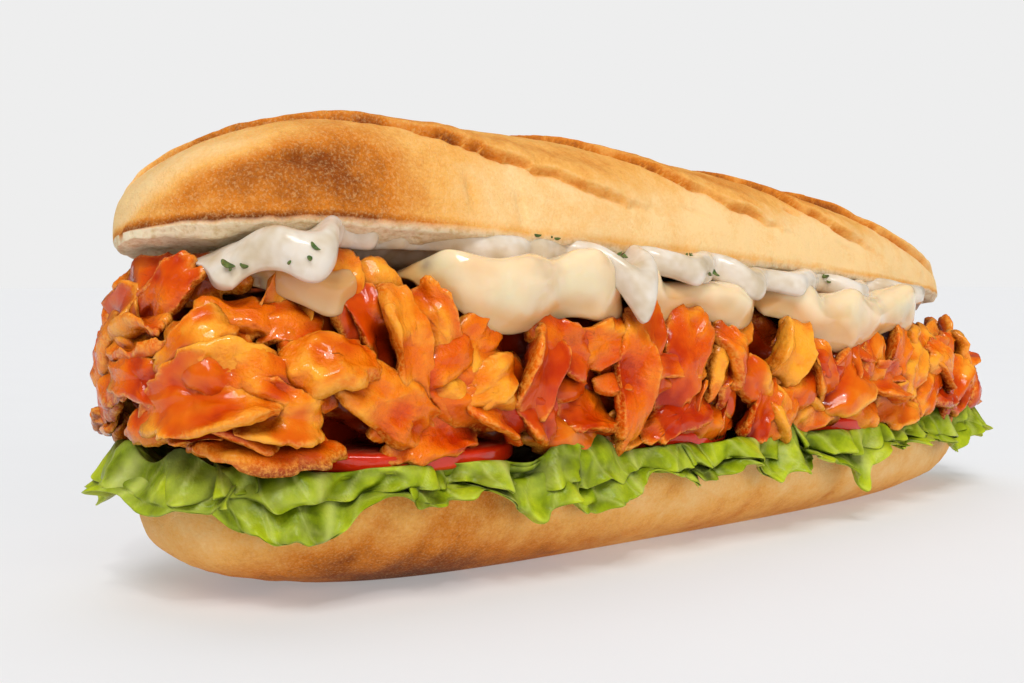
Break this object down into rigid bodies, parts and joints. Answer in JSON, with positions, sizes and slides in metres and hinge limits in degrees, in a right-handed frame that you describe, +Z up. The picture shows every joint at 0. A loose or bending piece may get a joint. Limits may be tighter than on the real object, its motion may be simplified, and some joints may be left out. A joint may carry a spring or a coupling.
{
  "type": "filled submarine sandwich",
  "caption": "Long split bread roll with slashed crust, filled with lettuce, tomato, torn chicken in orange sauce, melted cheese and white herb sauce.",
  "frame": {"origin": "centre of the flat spot under the lower bread half, on the surface that it rests on", "axes": "+X along the roll towards its lower, narrower end, +Z up, and the side that was seen faces -Y"},
  "size_m": [0.3292, 0.0978, 0.1106],
  "materials": {
    "crust": "matt baked crust with a slight sheen",
    "lettuce": "moist, slightly glossy leaf",
    "tomato": "wet, glossy",
    "chicken": "wet orange sauce, glossy",
    "cheese": "melted, soft gloss, slightly translucent",
    "white_sauce": "creamy, glossy, with green herb flecks"
  },
  "bodies": {
    "root": {"bread_bottom": "crust", "bread_top": "crust", "lettuce_leaf_1": "lettuce", "lettuce_leaf_2": "lettuce", "lettuce_leaf_3": "lettuce", "lettuce_leaf_4": "lettuce", "lettuce_leaf_5": "lettuce", "lettuce_leaf_6": "lettuce", "lettuce_leaf_7": "lettuce", "lettuce_leaf_8": "lettuce", "lettuce_leaf_9": "lettuce", "lettuce_leaf_10": "lettuce", "lettuce_leaf_11": "lettuce", "lettuce_leaf_12": "lettuce", "lettuce_leaf_13": "lettuce", "lettuce_leaf_14": "lettuce", "tomato_slice_1": "tomato", "tomato_slice_2": "tomato", "tomato_slice_3": "tomato", "chicken_filling": "chicken", "cheese_slice_1": "cheese", "cheese_slice_2": "cheese", "cheese_slice_3": "cheese", "cheese_slice_4": "cheese", "white_sauce": "white_sauce"}
  },
  "joints": []
}
